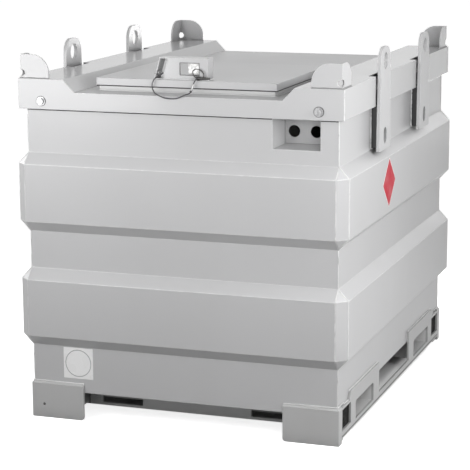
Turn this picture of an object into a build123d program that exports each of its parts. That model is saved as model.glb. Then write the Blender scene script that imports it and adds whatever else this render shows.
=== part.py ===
# Bunded diesel tank: a square steel box with two pressed belts, a raised collar,
# a hinged lid over the equipment bay, lifting lugs, stacking guides and fork pockets.
# Millimetres, Z up, X to the right seen from the front, the front looks to -Y.
# The origin is on the ground under the middle of the tank.

import os
from math import cos, pi, radians, sin, tan

from build123d import *

os.makedirs("parts", exist_ok=True)

# Outer walls, measured on the recessed bands
wall_width = 1121.0
wall_depth = 1506.0
sheet = 6.0
wall_foot = 100.0
side_wall_foot = 116.0

# Pressed belts that stand out of the walls, with slopes at 45 degrees. Their heights are
# shares of the height of the walls
belt_out = 38.0
belt_face_share = 0.1737
lower_belt_share = 0.2287
upper_belt_share = 0.5813

# Roof deck and the collar round it
deck_height = 1169.0
collar_out = 22.0
flange_rise = 43.0
skirt_height = 104.0
ramp_run = 42.0
lid_side_room = 45.5

# Hatch, coaming, lid and the bay below
lid_width = 654.0
lid_depth = 597.0
lid_from_front = 85.0
lid_rise = 45.0
lid_lip = 25.0
lid_sheet = 4.0
coaming_side_gap = 5.0
coaming_rear_gap = 13.0
coaming_sheet = 5.0
bay_depth = 300.0
bay_sheet = 4.0
bay_play = 2.0

# Lid hinges
hinge_axis_back = 13.0
hinge_axis_drop = 9.0
knuckle_radius = 8.0
hinge_pin_radius = 4.0
hinge_pin_play = 0.25
hinge_length = 90.0
hinge_spread = 220.0
knuckle_gap = 1.0
leaf_sheet = 4.0
leaf_height = 18.0
hinge_web = 8.0

# Hood over the lock, its window and the bright plate behind the window
hood_left = -97.0
hood_right = 78.0
hood_height = 74.0
hood_depth = 52.0
hood_sheet = 3.0
hood_setback = 14.0
hood_slit = 31.0
hood_slant = 20.0
window_left = -22.0
window_width = 68.0
window_height = 40.0
window_sill = 17.0
lock_plate_back = 30.0
lock_plate_margin = 10.0
lock_plate_sheet = 6.0

# Lock pin with its oval ring
pin_radius = 3.6
pin_length = 42.0
pin_left = 46.0
pin_head = 7.0
ring_long = 21.0
ring_short = 15.0
ring_wire = 2.0
ring_slope = 27.0

# Wire lanyard and the bolt that holds it
lanyard_wire = 4.0
lanyard_bolt_height = 21.0
lanyard_bolt_radius = 6.0
lanyard_bolt_length = 18.0

# Corner stacking guides
guide_leg = 106.0
guide_height = 83.0
guide_sheet = 6.0
guide_inset = 7.0
guide_round = 64.0
guide_drain = 12.0
guide_drain_rise = 19.0

# Lifting lugs
lug_spacing = 594.0
lug_plate = 12.0
lug_inset = 0.5
lug_width = 132.0
lug_foot_width = 156.0
lug_rise = 98.0
lug_over_belt = 4.0
lug_shoulder = 55.0
lug_eye = 29.0
lug_eye_drop = 50.0
lug_slot_width = 40.0
lug_slot_height = 58.0
lug_slot_rise = 20.0
lug_web_spacing = 92.0
wall_slot_width = 116.0
wall_slot_rise = 8.0
skirt_slot_width = 150.0
lug_backing_lap = 25.0

# Feet
foot_width = 200.0
foot_proud = 8.5
foot_top = 125.0
foot_return = 38.0
foot_slope = 7.5
foot_corner = 12.0
foot_pad = 8.0
foot_pad_width = 140.0
foot_pad_depth = 70.0
foot_hole = 5.0
foot_hole_in = 48.0
foot_hole_up = 48.0
gusset_sheet = 6.0
gusset_top_depth = 72.0
gusset_low_depth = 40.0
gusset_low = 57.0

# Side rails and fork pockets
rail_foot = 16.0
rail_height = 26.0
pocket_width = 244.0
pocket_near = 306.0
pocket_foot = 36.0
pocket_height = 67.0
pocket_corner = 15.0
plate_near = 228.0
plate_slope_run = 16.0
plate_rise = 30.0
port_gap = 62.0
port_rim = 3.2
port_height = 75.0
tunnel_sheet = 6.0
cross_rail_gap = 54.0
cross_rail_sheet = 8.0
cross_slot_near = 205.0
cross_slot_width = 157.0
cross_slot_rise = 10.0
cross_slot_height = 50.0

# Hose port recess in the front
recess_left = 332.0
recess_width = 165.0
recess_drop = 104.0
recess_behind = 30.0
recess_depth = 60.0
recess_slope = 26.0
recess_sheet = 4.0
hose_bore = 20.0
hose_drop = 50.0
hose_first = 56.0
hose_spacing = 77.0

# Bolts in the fascias
bolt_at = 497.0
bolt_rise = 28.0
bolt_washer = 16.0
bolt_washer_sheet = 3.0
bolt_dome = 11.0
bolt_length = 10.0

# Clearances, the share of a run that one bend of the wire takes, and a whole turn
seat = 0.3
cut = 1.0
bend_share = 0.45
whole_turn = 360.0

# Places worked out from the sizes above
half_width = wall_width / 2
half_depth = wall_depth / 2
collar_x = half_width + collar_out
collar_y = half_depth + collar_out
collar_top = deck_height + flange_rise
collar_foot = collar_top - skirt_height
wall_top = deck_height - sheet
belt_face = belt_face_share * wall_top
lower_belt_foot = lower_belt_share * wall_top
upper_belt_foot = upper_belt_share * wall_top
upper_belt_top = upper_belt_foot + 2 * belt_out + belt_face
deck_x = collar_x - sheet - seat
deck_y = collar_y - sheet - seat
lid_top = deck_height + lid_rise
lid_front = collar_y - lid_from_front
lid_back = lid_front - lid_depth
reach = wall_width + wall_depth + deck_height
eighth = tan(radians(22.5))
corners = [(sx, sy) for sx in (-1, 1) for sy in (-1, 1)]
corner_names = {
    (-1, -1): "front_left", (1, -1): "front_right", (-1, 1): "rear_left", (1, 1): "rear_right",
}


def body_form(inset, foot, top):
    """Solid of the tank body with both belts, drawn in by inset on every side."""
    hx = half_width - inset
    hy = half_depth - inset
    trim = inset * eighth
    with BuildPart() as form:
        with BuildSketch(Plane.XY.offset(foot)):
            Rectangle(2 * hx, 2 * hy)
        extrude(amount=top - foot)
        for belt_foot in (lower_belt_foot, upper_belt_foot):
            low = belt_foot + trim
            high = belt_foot + 2 * belt_out + belt_face - trim
            face_low = belt_foot + belt_out + trim
            face_high = belt_foot + belt_out + belt_face - trim
            # belts along the front and the rear, then along the two sides
            for plane, across, along in ((Plane.YZ, hy, hx), (Plane.XZ, hx, hy)):
                with BuildSketch(plane.offset(-along)):
                    with BuildLine():
                        Polyline(
                            (-across, low), (-across - belt_out, face_low),
                            (-across - belt_out, face_high), (-across, high),
                            (across, high), (across + belt_out, face_high),
                            (across + belt_out, face_low), (across, low), close=True,
                        )
                    make_face()
                extrude(amount=2 * along)
            # cut corners, each running to a point on the sharp corner of the wall
            for sx, sy in corners:
                tip = (sx * hx, sy * hy)
                triangle = (tip, (sx * (hx + belt_out), sy * hy), (sx * hx, sy * (hy + belt_out)))
                with BuildSketch(Plane.XY.offset(face_low), mode=Mode.PRIVATE) as low_cut:
                    with BuildLine():
                        Polyline(*triangle, close=True)
                    make_face()
                with BuildSketch(Plane.XY.offset(face_high), mode=Mode.PRIVATE) as high_cut:
                    with BuildLine():
                        Polyline(*triangle, close=True)
                    make_face()
                extrude(low_cut.sketch, amount=face_high - face_low)
                loft(sections=[high_cut.sketch.faces()[0], Vertex(*tip, high)], ruled=True)
                loft(sections=[low_cut.sketch.faces()[0], Vertex(*tip, low)], ruled=True)
    return form.part


# Outer walls: one shell with its cut-outs, then divided into the four walls
lug_top = collar_top + lug_rise
lug_foot = upper_belt_top - lug_over_belt
slot_foot = lug_foot + wall_slot_rise
recess_right = recess_left + recess_width
recess_mid = (recess_left + recess_right) / 2
recess_foot = collar_foot - recess_drop
recess_top = collar_foot + recess_behind

outer_form = body_form(0.0, wall_foot, wall_top)
inner_form = body_form(sheet, wall_foot - cut, wall_top + cut)
with BuildPart() as wall_shell:
    add(outer_form)
    add(inner_form, mode=Mode.SUBTRACT)
    # slots in the side walls behind the lifting lugs, open at the top
    with Locations(*[
        (sx * half_width, sy * lug_spacing / 2, (slot_foot + wall_top + cut) / 2) for sx, sy in corners
    ]):
        Box(4 * sheet, wall_slot_width, wall_top + cut - slot_foot, mode=Mode.SUBTRACT)
    # opening for the hose port recess
    with BuildSketch(Plane.XZ.offset(half_depth - 2 * sheet)):
        with Locations((recess_mid, (recess_foot + recess_top) / 2)):
            Rectangle(recess_width, recess_top - recess_foot)
    extrude(amount=3 * sheet, mode=Mode.SUBTRACT)
    # the side walls start higher than the front and the rear
    with Locations((0, 0, (wall_foot - cut + side_wall_foot) / 2)):
        Box(2 * wall_width, wall_depth - 2 * sheet, side_wall_foot - wall_foot + cut, mode=Mode.SUBTRACT)

end_wall_from = half_depth - sheet

with BuildPart() as wall_front:
    add(wall_shell.part)
    with Locations((0, -end_wall_from - reach / 2, 0)):
        Box(wall_width, reach, reach, mode=Mode.INTERSECT)
wall_front.part.label = "wall_front"
export_step(wall_front.part, "parts/wall_front.step")

with BuildPart() as wall_rear:
    add(wall_shell.part)
    with Locations((0, end_wall_from + reach / 2, 0)):
        Box(wall_width, reach, reach, mode=Mode.INTERSECT)
wall_rear.part.label = "wall_rear"
export_step(wall_rear.part, "parts/wall_rear.step")

with BuildPart() as side_walls:
    add(wall_shell.part)
    add(wall_front.part, mode=Mode.SUBTRACT)
    add(wall_rear.part, mode=Mode.SUBTRACT)

with BuildPart() as wall_left:
    add(side_walls.part)
    with Locations((-reach / 2, 0, 0)):
        Box(reach, reach, reach, mode=Mode.INTERSECT)
wall_left.part.label = "wall_left"
export_step(wall_left.part, "parts/wall_left.step")

with BuildPart() as wall_right:
    add(side_walls.part)
    with Locations((reach / 2, 0, 0)):
        Box(reach, reach, reach, mode=Mode.INTERSECT)
wall_right.part.label = "wall_right"
export_step(wall_right.part, "parts/wall_right.step")

# Floor plate of the tank, inside the walls
with BuildPart() as tank_floor:
    with BuildSketch(Plane.XY.offset(side_wall_foot)):
        Rectangle(wall_width - 2 * sheet, wall_depth - 2 * sheet)
    extrude(amount=sheet)
tank_floor.part.label = "tank_floor"
export_step(tank_floor.part, "parts/tank_floor.step")

# Coaming and hatch, inside the lip of the lid
coaming_x = lid_width / 2 - lid_sheet - coaming_side_gap
coaming_front = lid_front - lid_sheet - coaming_side_gap
coaming_back = lid_back + lid_sheet + coaming_rear_gap
coaming_top = lid_top - lid_sheet - seat
hatch_x = coaming_x - coaming_sheet
hatch_front = coaming_front - coaming_sheet
hatch_back = coaming_back + coaming_sheet
hatch_mid = -(hatch_front + hatch_back) / 2
hatch_depth = hatch_front - hatch_back

with BuildPart() as hatch_coaming:
    with BuildSketch(Plane.XY.offset(deck_height)):
        with Locations((0, -(coaming_front + coaming_back) / 2)):
            Rectangle(2 * coaming_x, coaming_front - coaming_back)
        with Locations((0, hatch_mid)):
            Rectangle(2 * hatch_x, hatch_depth, mode=Mode.SUBTRACT)
    extrude(amount=coaming_top - deck_height)
hatch_coaming.part.label = "hatch_coaming"
export_step(hatch_coaming.part, "parts/hatch_coaming.step")

# Roof deck that closes the tank, with the hatch cut out
with BuildPart() as roof_deck:
    with BuildSketch(Plane.XY.offset(deck_height - sheet)):
        Rectangle(2 * deck_x, 2 * deck_y)
        with Locations((0, hatch_mid)):
            Rectangle(2 * hatch_x, hatch_depth, mode=Mode.SUBTRACT)
    extrude(amount=sheet)
roof_deck.part.label = "roof_deck"
export_step(roof_deck.part, "parts/roof_deck.step")

# Bay under the hatch, a tray with open top that hangs from the deck
bay_top = deck_height - sheet
with BuildPart() as equipment_bay:
    with BuildSketch(Plane.XY.offset(bay_top - bay_depth)):
        with Locations((0, hatch_mid)):
            Rectangle(2 * (hatch_x + bay_play + bay_sheet), hatch_depth + 2 * (bay_play + bay_sheet))
    extrude(amount=bay_depth)
    with BuildSketch(Plane.XY.offset(bay_top - bay_depth + bay_sheet)):
        with Locations((0, hatch_mid)):
            Rectangle(2 * (hatch_x + bay_play), hatch_depth + 2 * bay_play)
    extrude(amount=bay_depth, mode=Mode.SUBTRACT)
equipment_bay.part.label = "equipment_bay"
export_step(equipment_bay.part, "parts/equipment_bay.step")

# Collar sides: skirt, flat flange and ramp bent from one sheet, standing on the deck
ramp_foot_x = lid_width / 2 + lid_side_room
ramp_top_x = ramp_foot_x + ramp_run
ramp_length = (ramp_run ** 2 + flange_rise ** 2) ** 0.5
ramp_flat = sheet * ramp_length / flange_rise
ramp_turn = sheet * (ramp_length - ramp_run) / flange_rise
side_profile = [
    (collar_x, collar_foot),
    (collar_x, collar_top),
    (ramp_top_x, collar_top),
    (ramp_foot_x, deck_height),
    (ramp_foot_x + ramp_flat, deck_height),
    (ramp_top_x + ramp_turn, collar_top - sheet),
    (collar_x - sheet, collar_top - sheet),
    (collar_x - sheet, collar_foot + sheet),
    (half_width + seat, collar_foot + sheet),
    (half_width + seat, collar_foot),
]

with BuildPart() as collar_right:
    with BuildSketch(Plane.XZ.offset(-collar_y + sheet)):
        with BuildLine():
            Polyline(*side_profile, close=True)
        make_face()
    extrude(amount=2 * (collar_y - sheet))
    with Locations(*[(collar_x, sy * lug_spacing / 2, (collar_foot + collar_top) / 2) for sy in (-1, 1)]):
        Box(2 * (collar_out + sheet), skirt_slot_width, 2 * skirt_height, mode=Mode.SUBTRACT)
collar_right.part.label = "collar_right"
export_step(collar_right.part, "parts/collar_right.step")

with BuildPart() as collar_left:
    mirror(collar_right.part, about=Plane.YZ)
collar_left.part.label = "collar_left"
export_step(collar_left.part, "parts/collar_left.step")

# Collar ends: fascia plates that follow the ramps, with the lower edge folded to the wall
with BuildPart() as collar_front:
    with BuildSketch(Plane.XZ.offset(collar_y - sheet)):
        with BuildLine():
            Polyline(
                (-collar_x, collar_foot), (-collar_x, collar_top), (-ramp_top_x, collar_top),
                (-ramp_foot_x, deck_height), (ramp_foot_x, deck_height), (ramp_top_x, collar_top),
                (collar_x, collar_top), (collar_x, collar_foot), close=True,
            )
        make_face()
    extrude(amount=sheet)
    with BuildSketch(Plane.XY.offset(collar_foot)):
        with Locations((0, -(half_depth + seat + collar_y) / 2)):
            Rectangle(2 * half_width, collar_y - half_depth - seat)
    extrude(amount=sheet)
collar_front.part.label = "collar_front"
export_step(collar_front.part, "parts/collar_front.step")

with BuildPart() as collar_rear:
    mirror(collar_front.part, about=Plane.XZ)
collar_rear.part.label = "collar_rear"
export_step(collar_rear.part, "parts/collar_rear.step")

# Corner guides: upright angles with rounded ends that centre a tank stacked on top
guide_x = collar_x - guide_inset
guide_y = collar_y - guide_inset
for sx, sy in corners:
    with BuildPart() as guide:
        with BuildSketch(Plane.XY.offset(collar_top)):
            with BuildLine():
                Polyline(
                    (sx * guide_x, sy * guide_y),
                    (sx * (guide_x - guide_leg), sy * guide_y),
                    (sx * (guide_x - guide_leg), sy * (guide_y - guide_sheet)),
                    (sx * (guide_x - guide_sheet), sy * (guide_y - guide_sheet)),
                    (sx * (guide_x - guide_sheet), sy * (guide_y - guide_leg)),
                    (sx * guide_x, sy * (guide_y - guide_leg)),
                    close=True,
                )
            make_face()
        extrude(amount=guide_height)
        upper_end_x = guide.edges().filter_by(Axis.Y).sort_by(lambda e: sx * e.center().X - e.center().Z)[0]
        upper_end_y = guide.edges().filter_by(Axis.X).sort_by(lambda e: sy * e.center().Y - e.center().Z)[0]
        fillet([upper_end_x, upper_end_y], radius=guide_round)
        # drain hole through the bend
        drain = Plane(
            origin=(sx * guide_x, sy * guide_y, collar_top + guide_drain_rise), z_dir=(sx, sy, 0),
        )
        with Locations(drain):
            Cylinder(guide_drain, guide_leg, mode=Mode.SUBTRACT)
    name = "corner_guide_" + corner_names[(sx, sy)]
    guide.part.label = name
    export_step(guide.part, "parts/" + name + ".step")

# Lifting lugs: flared plate outside the collar, webs through the wall, plate behind it
lug_outer = half_width + belt_out - lug_inset
lug_inner = lug_outer - lug_plate
eye_z = lug_top - lug_eye_drop
lug_slot_z = lug_foot + lug_slot_rise + lug_slot_height / 2
backing_x = half_width - sheet - seat
web_foot = slot_foot + seat
with BuildPart() as lug_master:
    with BuildSketch(Plane.YZ.offset(lug_inner)):
        with BuildLine():
            Polyline(
                (-lug_foot_width / 2, lug_foot), (lug_foot_width / 2, lug_foot),
                (lug_width / 2, eye_z), (lug_width / 2, lug_top),
                (-lug_width / 2, lug_top), (-lug_width / 2, eye_z), close=True,
            )
        make_face()
        fillet(vertices().sort_by(Axis.Y)[-2:], radius=min(lug_shoulder, lug_eye_drop - cut))
        with Locations((0, eye_z)):
            Circle(lug_eye, mode=Mode.SUBTRACT)
        with Locations((0, lug_slot_z)):
            SlotOverall(lug_slot_height, lug_slot_width, rotation=90, mode=Mode.SUBTRACT)
    extrude(amount=lug_plate)
    with BuildSketch(Plane.XY.offset(web_foot)):
        with Locations(*[((backing_x + lug_inner) / 2, side * lug_web_spacing / 2) for side in (-1, 1)]):
            Rectangle(lug_inner - backing_x, lug_plate)
    extrude(amount=collar_foot - seat - web_foot)
    with BuildSketch(Plane.XY.offset(slot_foot - lug_backing_lap)):
        with Locations((backing_x - lug_plate / 2, 0)):
            Rectangle(lug_plate, wall_slot_width + 2 * lug_backing_lap)
    extrude(amount=wall_top - seat - slot_foot + lug_backing_lap)

for sx, sy in corners:
    shape = lug_master.part.moved(Location((0, sy * lug_spacing / 2, 0)))
    if sx < 0:
        shape = mirror(shape, about=Plane.YZ)
    with BuildPart() as lug:
        add(shape)
    name = "lifting_lug_" + corner_names[(sx, sy)]
    lug.part.label = name
    export_step(lug.part, "parts/" + name + ".step")

# Feet: angles round the lower corners with a sloped top edge, a pad and a gusset inside
foot_x = half_width + foot_proud
foot_y = half_depth + foot_proud
foot_in = foot_proud - seat
with BuildPart() as foot_master:
    with BuildSketch(Plane.XY):
        with BuildLine():
            Polyline(
                (foot_x, -foot_y), (foot_x - foot_width, -foot_y), (foot_x - foot_width, -foot_y + foot_in),
                (foot_x - foot_in, -foot_y + foot_in), (foot_x - foot_in, -foot_y + foot_return),
                (foot_x, -foot_y + foot_return), close=True,
            )
        make_face()
    extrude(amount=foot_top + foot_slope)
    top_edges = foot_master.faces().sort_by(Axis.Z)[-1].edges().filter_by(
        lambda e: e.center().Y < -foot_y + foot_in / 4 or e.center().X > foot_x - foot_in / 4)
    chamfer(top_edges, length=foot_slope)
    bend = foot_master.edges().filter_by(Axis.Z).sort_by(lambda e: e.center().Y - e.center().X)[0]
    fillet(bend, radius=foot_in / 2)
    low_corner = foot_master.edges().filter_by(Axis.Y).sort_by(lambda e: e.center().X + e.center().Z)[0]
    fillet(low_corner, radius=foot_corner)
    # pad that carries the tank
    pad_x = foot_x - foot_in - foot_pad_width / 2
    with BuildSketch(Plane.XY):
        with Locations((pad_x, -foot_y + foot_in + foot_pad_depth / 2)):
            Rectangle(foot_pad_width, foot_pad_depth)
    extrude(amount=foot_pad)
    # gusset under the wall at the inner end of the foot
    with BuildSketch(Plane.YZ.offset(foot_x - foot_width)):
        with BuildLine():
            Polyline(
                (-foot_y + foot_in, wall_foot - seat), (-foot_y + foot_in + gusset_top_depth, wall_foot - seat),
                (-foot_y + foot_in + gusset_low_depth, gusset_low), (-foot_y + foot_in, gusset_low), close=True,
            )
        make_face()
    extrude(amount=gusset_sheet)

for sx, sy in corners:
    shape = foot_master.part
    if sx < 0:
        shape = mirror(shape, about=Plane.YZ)
    if sy > 0:
        shape = mirror(shape, about=Plane.XZ)
    with BuildPart() as foot:
        add(shape)
        # small hole in the foot at the front left and in the one at the rear right
        if sx == sy:
            with Locations(Location((sx * (foot_x - foot_hole_in), sy * foot_y, foot_hole_up), (90, 0, 0))):
                Cylinder(foot_hole, 3 * foot_proud, mode=Mode.SUBTRACT)
    name = "foot_" + corner_names[(sx, sy)]
    foot.part.label = name
    export_step(foot.part, "parts/" + name + ".step")

# Side rails: low strip between the feet with raised plates round the fork pockets
rail_end = foot_y - foot_return - seat
rail_top = rail_foot + rail_height
port_near = pocket_near + pocket_width + port_gap
port_width = rail_end - port_rim - port_near
cross_rail_at = pocket_near + pocket_width + cross_rail_gap
plate_far = port_near + plate_slope_run
plate_top = foot_top + plate_rise
pocket_mid = pocket_near + pocket_width / 2
pocket_z = pocket_foot + pocket_height / 2
with BuildPart() as side_rail_right:
    with BuildSketch(Plane.YZ.offset(half_width + seat)):
        with BuildLine():
            Polyline(
                (-rail_end, rail_foot), (rail_end, rail_foot), (rail_end, foot_top),
                (plate_far, foot_top), (port_near, plate_top), (plate_near, plate_top),
                (plate_near, rail_top), (-plate_near, rail_top), (-plate_near, plate_top),
                (-port_near, plate_top), (-plate_far, foot_top), (-rail_end, foot_top), close=True,
            )
        make_face()
        for sy in (-1, 1):
            with Locations((sy * (port_near + port_width / 2), rail_top + port_height / 2)):
                Rectangle(port_width, port_height, mode=Mode.SUBTRACT)
    extrude(amount=foot_in)
    # fork pockets, rounded above
    with BuildSketch(Plane.YZ.offset(half_width)) as pockets:
        with Locations(*[(sy * pocket_mid, pocket_z) for sy in (-1, 1)]):
            Rectangle(pocket_width, pocket_height)
        fillet(pockets.vertices().group_by(Axis.Y)[-1], radius=pocket_corner)
    extrude(amount=2 * foot_proud, mode=Mode.SUBTRACT)
side_rail_right.part.label = "side_rail_right"
export_step(side_rail_right.part, "parts/side_rail_right.step")

with BuildPart() as side_rail_left:
    mirror(side_rail_right.part, about=Plane.YZ)
side_rail_left.part.label = "side_rail_left"
export_step(side_rail_left.part, "parts/side_rail_left.step")

# Fork tunnels across the tank and cross rails with a pair of slots
for sy, end in ((-1, "front"), (1, "rear")):
    with BuildPart() as tunnel:
        with BuildSketch(Plane.YZ.offset(-half_width)):
            with Locations((sy * pocket_mid, pocket_z)):
                Rectangle(pocket_width + 2 * tunnel_sheet, pocket_height + 2 * tunnel_sheet)
                Rectangle(pocket_width, pocket_height, mode=Mode.SUBTRACT)
        extrude(amount=2 * half_width)
    name = "fork_tunnel_" + end
    tunnel.part.label = name
    export_step(tunnel.part, "parts/" + name + ".step")

    with BuildPart() as cross:
        with BuildSketch(Plane.XZ.offset(-sy * cross_rail_at - cross_rail_sheet / 2)):
            with Locations((0, (rail_foot + side_wall_foot) / 2)):
                Rectangle(2 * half_width, side_wall_foot - rail_foot)
            for sx in (-1, 1):
                with Locations((sx * (cross_slot_near + cross_slot_width / 2),
                                rail_foot + cross_slot_rise + cross_slot_height / 2)):
                    Rectangle(cross_slot_width, cross_slot_height, mode=Mode.SUBTRACT)
        extrude(amount=cross_rail_sheet)
    name = "cross_rail_" + end
    cross.part.label = name
    export_step(cross.part, "parts/" + name + ".step")

# Lid: a shallow pan turned over the coaming
with BuildPart() as lid:
    with BuildSketch(Plane.XY.offset(lid_top - lid_lip)):
        with Locations((0, -(lid_front + lid_back) / 2)):
            Rectangle(lid_width, lid_depth)
    extrude(amount=lid_lip)
    fillet(lid.edges().filter_by(Axis.Z), radius=lid_sheet)
    fillet(lid.faces().sort_by(Axis.Z)[-1].edges(), radius=lid_sheet / 2)
    with BuildSketch(Plane.XY.offset(lid_top - lid_lip)):
        with Locations((0, -(lid_front + lid_back) / 2)):
            Rectangle(lid_width - 2 * lid_sheet, lid_depth - 2 * lid_sheet)
    extrude(amount=lid_lip - lid_sheet, mode=Mode.SUBTRACT)
lid.part.label = "lid"
export_step(lid.part, "parts/lid.step")

# Hinges behind the lid: fixed pedestals with pins, and leaves that turn with the lid
axis_y = -lid_back + hinge_axis_back
axis_z = lid_top - hinge_axis_drop
knuckle_length = (hinge_length - 2 * knuckle_gap) / 3
outer_knuckle = (hinge_length - knuckle_length) / 2
with BuildPart() as lid_hinge_blocks:
    for sx in (-1, 1):
        # pedestal from the deck up to just below the turning knuckle
        with BuildSketch(Plane.XY.offset(deck_height)):
            with Locations((sx * hinge_spread, axis_y)):
                Rectangle(hinge_length, hinge_web)
        extrude(amount=axis_z - deck_height)
        for side in (-1, 1):
            with Locations(Location((sx * hinge_spread + side * outer_knuckle, axis_y, axis_z), (0, 90, 0))):
                Cylinder(knuckle_radius, knuckle_length)
        with Locations(Location((sx * hinge_spread, axis_y, axis_z), (0, 90, 0))):
            Cylinder(knuckle_radius + 2 * knuckle_gap, knuckle_length + 2 * knuckle_gap, mode=Mode.SUBTRACT)
            Cylinder(hinge_pin_radius, hinge_length)
lid_hinge_blocks.part.label = "lid_hinge_blocks"
export_step(lid_hinge_blocks.part, "parts/lid_hinge_blocks.step")

leaf_top = lid_top - lid_sheet
with BuildPart() as lid_hinge_leaves:
    for sx in (-1, 1):
        with BuildSketch(Plane.YZ.offset(sx * hinge_spread - knuckle_length / 2)):
            with Locations((-lid_back + leaf_sheet / 2, leaf_top - leaf_height / 2)):
                Rectangle(leaf_sheet, leaf_height)
            with Locations(((axis_y - lid_back) / 2, axis_z)):
                Rectangle(axis_y + lid_back, leaf_sheet)
            with Locations((axis_y, axis_z)):
                Circle(knuckle_radius)
                Circle(hinge_pin_radius + hinge_pin_play, mode=Mode.SUBTRACT)
        extrude(amount=knuckle_length)
lid_hinge_leaves.part.label = "lid_hinge_leaves"
export_step(lid_hinge_leaves.part, "parts/lid_hinge_leaves.step")

# Hood over the lock: front with a window, top, right end, and a left end that leans out
hood_y = lid_front - hood_setback
hood_top = lid_top + hood_height
slit_top = hood_left + hood_slit
hood_foot_left = hood_left - hood_slant
slit_foot = slit_top - hood_slant
with BuildPart() as lid_hood:
    with BuildSketch(Plane.XZ.offset(hood_y - hood_sheet)):
        with BuildLine():
            Polyline(
                (slit_foot, lid_top), (slit_top, hood_top), (hood_right, hood_top),
                (hood_right, lid_top), close=True,
            )
        make_face()
        with Locations((window_left + window_width / 2, lid_top + window_sill + window_height / 2)):
            Rectangle(window_width, window_height, mode=Mode.SUBTRACT)
    extrude(amount=hood_sheet)
    with BuildSketch(Plane.XZ.offset(hood_y - hood_depth)):
        with BuildLine():
            Polyline(
                (hood_foot_left, lid_top), (hood_left, hood_top), (hood_right, hood_top),
                (hood_right, lid_top), (hood_right - hood_sheet, lid_top),
                (hood_right - hood_sheet, hood_top - hood_sheet),
                (hood_left + hood_sheet, hood_top - hood_sheet),
                (hood_foot_left + hood_sheet, lid_top), close=True,
            )
        make_face()
    extrude(amount=hood_depth)
    # bolt that holds the lanyard, through the leaning end
    bolt_x = hood_foot_left + hood_slant * lanyard_bolt_height / hood_height + hood_sheet / 2
    bolt_y = -hood_y + 2 * lanyard_bolt_radius
    bolt_z = lid_top + lanyard_bolt_height
    with Locations(Location((bolt_x, bolt_y, bolt_z), (0, 90, 0))):
        Cylinder(lanyard_bolt_radius, lanyard_bolt_length)
lid_hood.part.label = "lid_hood"
export_step(lid_hood.part, "parts/lid_hood.step")

# Bright lock plate behind the window
plate_left = window_left + 2 * lock_plate_margin
with BuildPart() as lock_plate:
    with BuildSketch(Plane.XZ.offset(hood_y - hood_sheet - lock_plate_back)):
        with Locations(((plate_left + hood_right - hood_sheet) / 2, (lid_top + hood_top - hood_sheet) / 2)):
            Rectangle(hood_right - hood_sheet - plate_left, hood_height - hood_sheet)
    extrude(amount=lock_plate_sheet)
lock_plate.part.label = "lock_plate"
export_step(lock_plate.part, "parts/lock_plate.step")

# Lock pin that lies at the foot of the hood, with its oval ring upright against the hood
pin_y = -hood_y - seat - pin_head
pin_z = lid_top + seat + pin_head
with BuildPart() as lock_pin:
    with Locations(Location((pin_left + pin_length / 2, pin_y, pin_z), (0, 90, 0))):
        Cylinder(pin_radius, pin_length)
    with Locations((pin_left, pin_y, pin_z)):
        Sphere(pin_head)
    ring_plane = Plane(
        origin=(pin_left, pin_y, pin_z + ring_short),
        x_dir=(cos(radians(ring_slope)), 0, -sin(radians(ring_slope))), z_dir=(0, -1, 0),
    )
    with BuildLine(ring_plane) as ring_path:
        EllipticalCenterArc((0, 0), ring_long, ring_short, start_angle=0, arc_size=whole_turn)
    with BuildSketch(Plane(origin=ring_path.line @ 0, z_dir=ring_path.line % 0)):
        Circle(ring_wire)
    sweep(path=ring_path.line)
lock_pin.part.label = "lock_pin"
export_step(lock_pin.part, "parts/lock_pin.step")

# Wire lanyard from the bolt in the hood, over the edge of the lid, along the deck to the pin
lanyard_route = [
    (-100.8, -664.0, 1235.0),
    (-92.0, -664.0, 1235.0),
    (-86.0, -672.0, 1234.0),
    (-88.0, -689.0, 1230.0),
    (-104.0, -700.0, 1221.0),
    (-115.5, -700.0, 1203.0),
    (-115.0, -702.0, 1185.0),
    (-101.0, -720.0, 1175.0),
    (-85.0, -757.0, 1177.0),
    (-66.0, -782.0, 1174.0),
    (-36.0, -784.0, 1162.0),
    (4.0, -784.0, 1162.0),
    (31.0, -780.0, 1175.0),
    (37.0, -752.0, 1177.0),
    (28.0, -713.0, 1175.0),
    (33.0, -701.0, 1196.0),
    (38.5, -702.5, 1213.0),
    (44.2, -691.5, 1223.4),
]
route_points = [Vector(*point) for point in lanyard_route]
lanyard_runs = [after - before for before, after in zip(route_points, route_points[1:])]
lanyard_bends = []
for before, after in zip(lanyard_runs, lanyard_runs[1:]):
    half_turn = radians(before.get_angle(after)) / 2
    lanyard_bends.append(bend_share * min(before.length, after.length) / tan(half_turn))
print("lanyard bend radii", [round(bend, 1) for bend in lanyard_bends])
with BuildPart() as lock_lanyard:
    with BuildLine():
        lanyard_line = FilletPolyline(*route_points, radius=lanyard_bends)
    with BuildSketch(Plane(origin=lanyard_line @ 0, z_dir=lanyard_line % 0)):
        Circle(lanyard_wire / 2)
    sweep(path=lanyard_line)
print("lanyard length", round(lanyard_line.length, 1), "volume over section",
      round(lock_lanyard.part.volume / (pi * lanyard_wire ** 2 / 4), 1))
lock_lanyard.part.label = "lock_lanyard"
export_step(lock_lanyard.part, "parts/lock_lanyard.step")

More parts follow.
